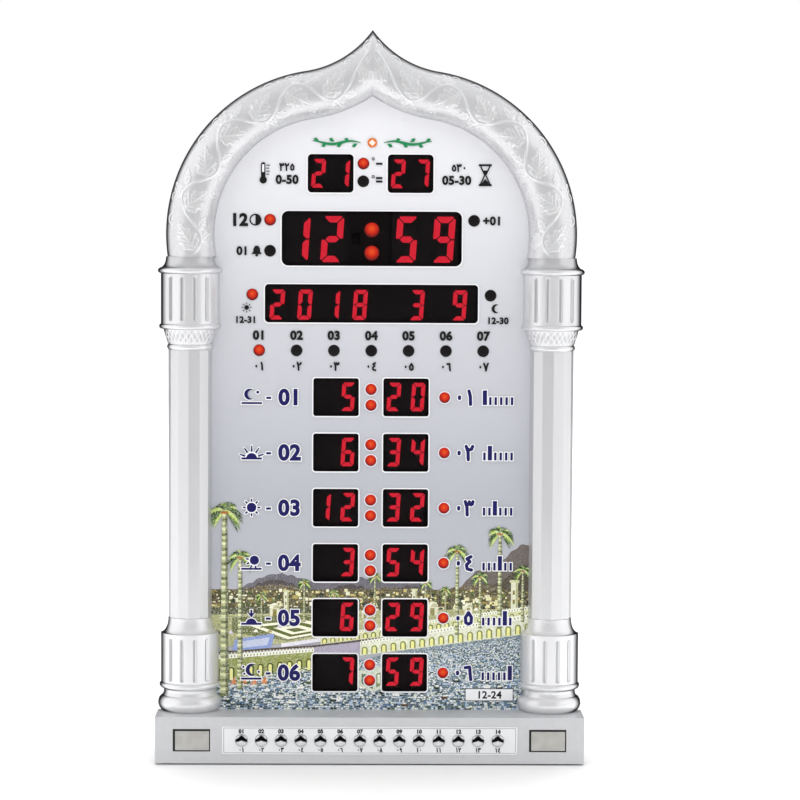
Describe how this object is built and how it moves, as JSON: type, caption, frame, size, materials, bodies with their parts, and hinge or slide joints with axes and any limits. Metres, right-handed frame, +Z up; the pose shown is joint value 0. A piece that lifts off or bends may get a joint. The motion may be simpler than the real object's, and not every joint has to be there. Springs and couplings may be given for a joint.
{
  "type": "call-to-prayer clock",
  "caption": "Ogee-arched clock case on two fluted columns and a plinth, with red seven-segment displays, round lamps and a row of domed push buttons.",
  "frame": {"origin": "under the middle of the case, in the plane it stands on", "axes": "+Z up, the face looks towards -Y, +X to the right as seen from the front"},
  "size_m": [0.258, 0.054, 0.44],
  "materials": {
    "silver_moulding": "bright silver lacquer over moulded plastic",
    "plinth_silver": "satin silver lacquer",
    "satin_plate": "fine brushed",
    "label_white": "printed label",
    "case_grey": "fine texture",
    "printed_panel": "printed sheet, semi-gloss",
    "dark_filter": "smoked, polished",
    "module_black": "matt black",
    "segment_red": "translucent red diffuser",
    "lamp_red": "moulded red lens",
    "board_green": "solder resist",
    "holder_ivory": "plain",
    "cell_steel": "brushed",
    "ribbon_grey": "flat cable",
    "wire_cover": "wire insulation",
    "speaker_black": "black",
    "screw_steel": "plain",
    "button_chrome": "polished dome"
  },
  "bodies": {
    "case": {"arch_crown": "silver_moulding", "capital_left": "silver_moulding", "capital_right": "silver_moulding", "column_left": "silver_moulding", "column_right": "silver_moulding", "column_base_left": "silver_moulding", "column_base_right": "silver_moulding", "plinth": "plinth_silver", "inset_plates": "satin_plate", "button_strip": "label_white", "panel_frame": "case_grey", "front_panel": "printed_panel", "time_window": "dark_filter", "date_window": "dark_filter", "counter_windows": "dark_filter", "row_windows": "dark_filter", "time_display": "module_black", "date_display": "module_black", "counter_displays": "module_black", "row_displays": "module_black", "time_segments": "segment_red", "date_segments": "segment_red", "counter_segments": "segment_red", "row_segments": "segment_red", "status_leds": "lamp_red", "weekday_leds": "lamp_red", "row_leds": "lamp_red", "row_colon_leds": "lamp_red", "time_colon_leds": "lamp_red", "display_board": "board_green", "controller_chip": "module_black", "ir_receiver": "module_black", "cell_holder": "holder_ivory", "coin_cell": "cell_steel", "button_board": "board_green", "tact_switches": "module_black", "ribbon_cable": "ribbon_grey", "speaker": "speaker_black", "speaker_wires": "wire_cover", "dc_jack": "module_black", "power_wires": "wire_cover", "back_cover": "case_grey", "moulding_screws": "screw_steel", "cover_screws": "screw_steel", "board_screws": "screw_steel"},
    "button_01": {"button_01": "button_chrome"},
    "button_02": {"button_02": "button_chrome"},
    "button_03": {"button_03": "button_chrome"},
    "button_04": {"button_04": "button_chrome"},
    "button_05": {"button_05": "button_chrome"},
    "button_06": {"button_06": "button_chrome"},
    "button_07": {"button_07": "button_chrome"},
    "button_08": {"button_08": "button_chrome"},
    "button_09": {"button_09": "button_chrome"},
    "button_10": {"button_10": "button_chrome"},
    "button_11": {"button_11": "button_chrome"},
    "button_12": {"button_12": "button_chrome"},
    "button_13": {"button_13": "button_chrome"},
    "button_14": {"button_14": "button_chrome"}
  },
  "joints": [
    {"name": "press_01", "type": "slide", "parent": "case", "child": "button_01", "axis": [0, 1, 0], "range_m": [0, 0.0006], "stiffness_N_per_m": 1000},
    {"name": "press_02", "type": "slide", "parent": "case", "child": "button_02", "axis": [0, 1, 0], "range_m": [0, 0.0006], "stiffness_N_per_m": 1000},
    {"name": "press_03", "type": "slide", "parent": "case", "child": "button_03", "axis": [0, 1, 0], "range_m": [0, 0.0006], "stiffness_N_per_m": 1000},
    {"name": "press_04", "type": "slide", "parent": "case", "child": "button_04", "axis": [0, 1, 0], "range_m": [0, 0.0006], "stiffness_N_per_m": 1000},
    {"name": "press_05", "type": "slide", "parent": "case", "child": "button_05", "axis": [0, 1, 0], "range_m": [0, 0.0006], "stiffness_N_per_m": 1000},
    {"name": "press_06", "type": "slide", "parent": "case", "child": "button_06", "axis": [0, 1, 0], "range_m": [0, 0.0006], "stiffness_N_per_m": 1000},
    {"name": "press_07", "type": "slide", "parent": "case", "child": "button_07", "axis": [0, 1, 0], "range_m": [0, 0.0006], "stiffness_N_per_m": 1000},
    {"name": "press_08", "type": "slide", "parent": "case", "child": "button_08", "axis": [0, 1, 0], "range_m": [0, 0.0006], "stiffness_N_per_m": 1000},
    {"name": "press_09", "type": "slide", "parent": "case", "child": "button_09", "axis": [0, 1, 0], "range_m": [0, 0.0006], "stiffness_N_per_m": 1000},
    {"name": "press_10", "type": "slide", "parent": "case", "child": "button_10", "axis": [0, 1, 0], "range_m": [0, 0.0006], "stiffness_N_per_m": 1000},
    {"name": "press_11", "type": "slide", "parent": "case", "child": "button_11", "axis": [0, 1, 0], "range_m": [0, 0.0006], "stiffness_N_per_m": 1000},
    {"name": "press_12", "type": "slide", "parent": "case", "child": "button_12", "axis": [0, 1, 0], "range_m": [0, 0.0006], "stiffness_N_per_m": 1000},
    {"name": "press_13", "type": "slide", "parent": "case", "child": "button_13", "axis": [0, 1, 0], "range_m": [0, 0.0006], "stiffness_N_per_m": 1000},
    {"name": "press_14", "type": "slide", "parent": "case", "child": "button_14", "axis": [0, 1, 0], "range_m": [0, 0.0006], "stiffness_N_per_m": 1000}
  ]
}
